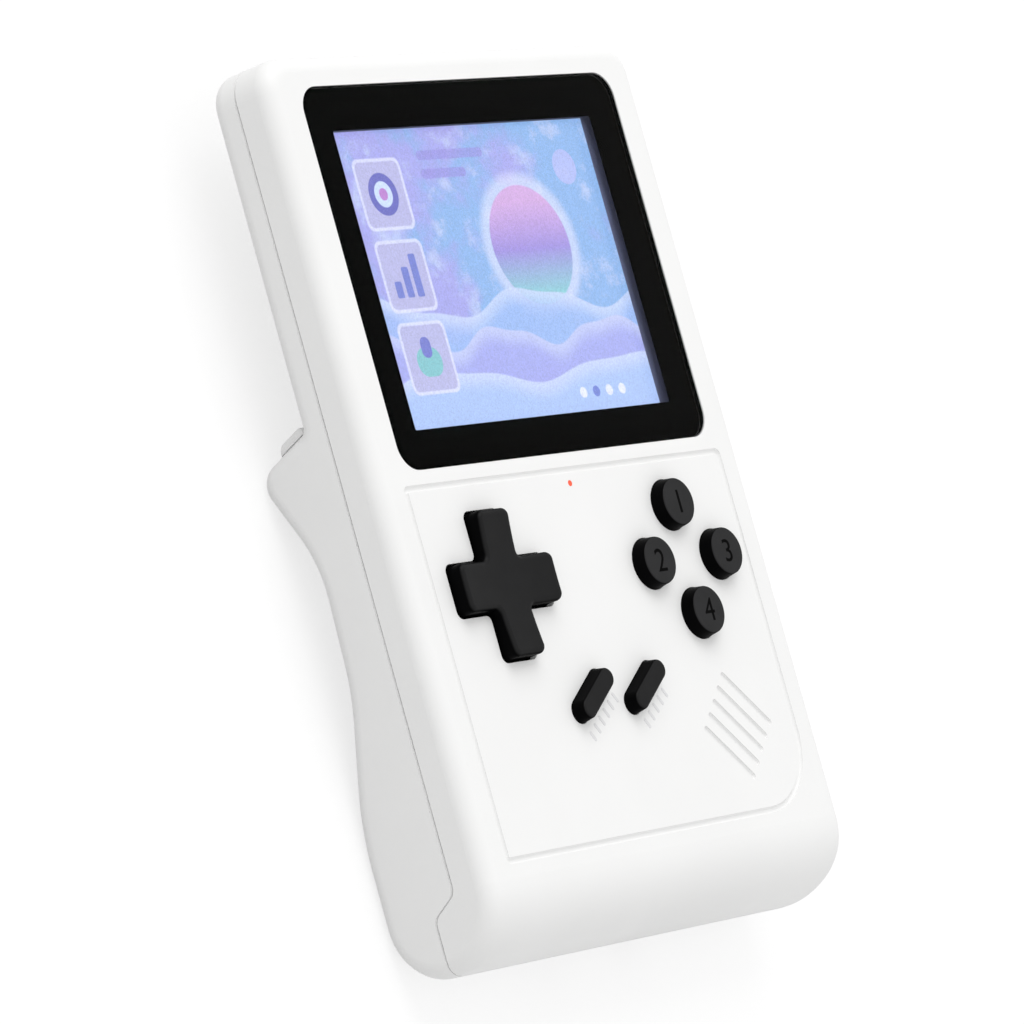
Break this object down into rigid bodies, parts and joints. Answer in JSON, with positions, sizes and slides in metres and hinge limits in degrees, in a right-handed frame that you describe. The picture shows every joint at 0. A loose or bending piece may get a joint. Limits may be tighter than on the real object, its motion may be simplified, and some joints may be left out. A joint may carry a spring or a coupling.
{
  "type": "handheld game console",
  "caption": "Small upright handheld game console with a screen above a cross and round buttons, a finger hump with shoulder buttons behind.",
  "frame": {"origin": "centre of the base it lies on: the finger hump and the bottom bulge rest on Z = 0", "axes": "+Z out of the screen, +Y towards the top of the console, +X to the player's right"},
  "size_m": [0.0822, 0.127, 0.0225],
  "materials": {
    "white_shell": "satin moulded",
    "black_lens": "polished, black border printed behind",
    "adhesive": "thin foam tape",
    "lcd_glass": "lit display",
    "lcd_tray": "white moulded",
    "ribbon": "flexible film",
    "socket_black": "moulded",
    "circuit_board": "solder resist",
    "chip_black": "moulded",
    "led_white": "clear lamp",
    "light_red": "lit light guide",
    "black_control": "fine moulded grain",
    "rubber_grey": "soft moulded",
    "steel": "plated",
    "black_steel": "blackened",
    "speaker_cone": "pressed",
    "cell_wrap": "printed film",
    "gold": "plated"
  },
  "bodies": {
    "case": {"front_shell": "white_shell", "rear_shell": "white_shell", "display_lens": "black_lens", "lens_border": "adhesive", "lcd_glass": "lcd_glass", "lcd_frame": "lcd_tray", "lcd_tape": "adhesive", "display_ribbon": "ribbon", "ribbon_socket": "socket_black", "main_board": "circuit_board", "board_chips": "chip_black", "led_chip": "led_white", "light_pipe": "light_red", "dpad_membrane": "rubber_grey", "action_membrane": "rubber_grey", "pill_membrane": "rubber_grey", "shoulder_board": "circuit_board", "shoulder_switches": "chip_black", "speaker_frame": "steel", "speaker_cone": "speaker_cone", "volume_pot": "chip_black", "power_switch": "steel", "port_board": "circuit_board", "usb_port": "steel", "headphone_jack": "socket_black", "battery_cell": "cell_wrap", "contact_block": "socket_black", "battery_contacts": "gold", "case_screws": "black_steel", "board_screws": "steel", "port_screws": "steel", "shoulder_screws": "steel"},
    "dpad_pivot_ball": {"dpad_pivot": "steel"},
    "dpad_cross": {"dpad": "black_control"},
    "button_top": {"button_top": "black_control"},
    "button_left": {"button_left": "black_control"},
    "button_right": {"button_right": "black_control"},
    "button_bottom": {"button_bottom": "black_control"},
    "select": {"select_button": "black_control"},
    "start": {"start_button": "black_control"},
    "shoulder_left": {"shoulder_left": "white_shell"},
    "shoulder_right": {"shoulder_right": "white_shell"},
    "volume": {"volume_wheel": "black_control"},
    "power": {"power_slider": "black_control"},
    "cover": {"battery_cover": "white_shell"}
  },
  "joints": [
    {"name": "dpad_sideways", "type": "hinge", "parent": "case", "child": "dpad_pivot_ball", "pos_m": [-0.02135, -0.0132, 0.01745], "axis": [0, 1, 0], "range_deg": [-3, 3], "stiffness_Nm_per_rad": 0.25},
    {"name": "dpad_up_down", "type": "hinge", "parent": "dpad_pivot_ball", "child": "dpad_cross", "pos_m": [-0.02135, -0.0132, 0.01745], "axis": [1, 0, 0], "range_deg": [-3, 3], "stiffness_Nm_per_rad": 0.25},
    {"name": "button_top_press", "type": "slide", "parent": "case", "child": "button_top", "axis": [0, 0, -1], "range_m": [0, 0.0009], "stiffness_N_per_m": 700, "springref_m": -0.0003},
    {"name": "button_left_press", "type": "slide", "parent": "case", "child": "button_left", "axis": [0, 0, -1], "range_m": [0, 0.0009], "stiffness_N_per_m": 700, "springref_m": -0.0003},
    {"name": "button_right_press", "type": "slide", "parent": "case", "child": "button_right", "axis": [0, 0, -1], "range_m": [0, 0.0009], "stiffness_N_per_m": 700, "springref_m": -0.0003},
    {"name": "button_bottom_press", "type": "slide", "parent": "case", "child": "button_bottom", "axis": [0, 0, -1], "range_m": [0, 0.0009], "stiffness_N_per_m": 700, "springref_m": -0.0003},
    {"name": "select_press", "type": "slide", "parent": "case", "child": "select", "axis": [0, 0, -1], "range_m": [0, 0.0009], "stiffness_N_per_m": 700, "springref_m": -0.0003},
    {"name": "start_press", "type": "slide", "parent": "case", "child": "start", "axis": [0, 0, -1], "range_m": [0, 0.0009], "stiffness_N_per_m": 700, "springref_m": -0.0003},
    {"name": "shoulder_left_press", "type": "slide", "parent": "case", "child": "shoulder_left", "axis": [0, -0.932, 0.3624], "range_m": [0, 0.0008], "stiffness_N_per_m": 900, "springref_m": -0.0003},
    {"name": "shoulder_right_press", "type": "slide", "parent": "case", "child": "shoulder_right", "axis": [0, -0.932, 0.3624], "range_m": [0, 0.0008], "stiffness_N_per_m": 900, "springref_m": -0.0003},
    {"name": "volume_turn", "type": "hinge", "parent": "case", "child": "volume", "pos_m": [0.0336, 0.03, 0.0121], "axis": [0, 0, 1], "range_deg": [0, 270]},
    {"name": "power_slide", "type": "slide", "parent": "case", "child": "power", "axis": [1, 0, 0], "range_m": [0, 0.003]},
    {"name": "cover_lift", "type": "slide", "parent": "case", "child": "cover", "axis": [0, 0, -1], "range_m": [0, 0.012]}
  ]
}
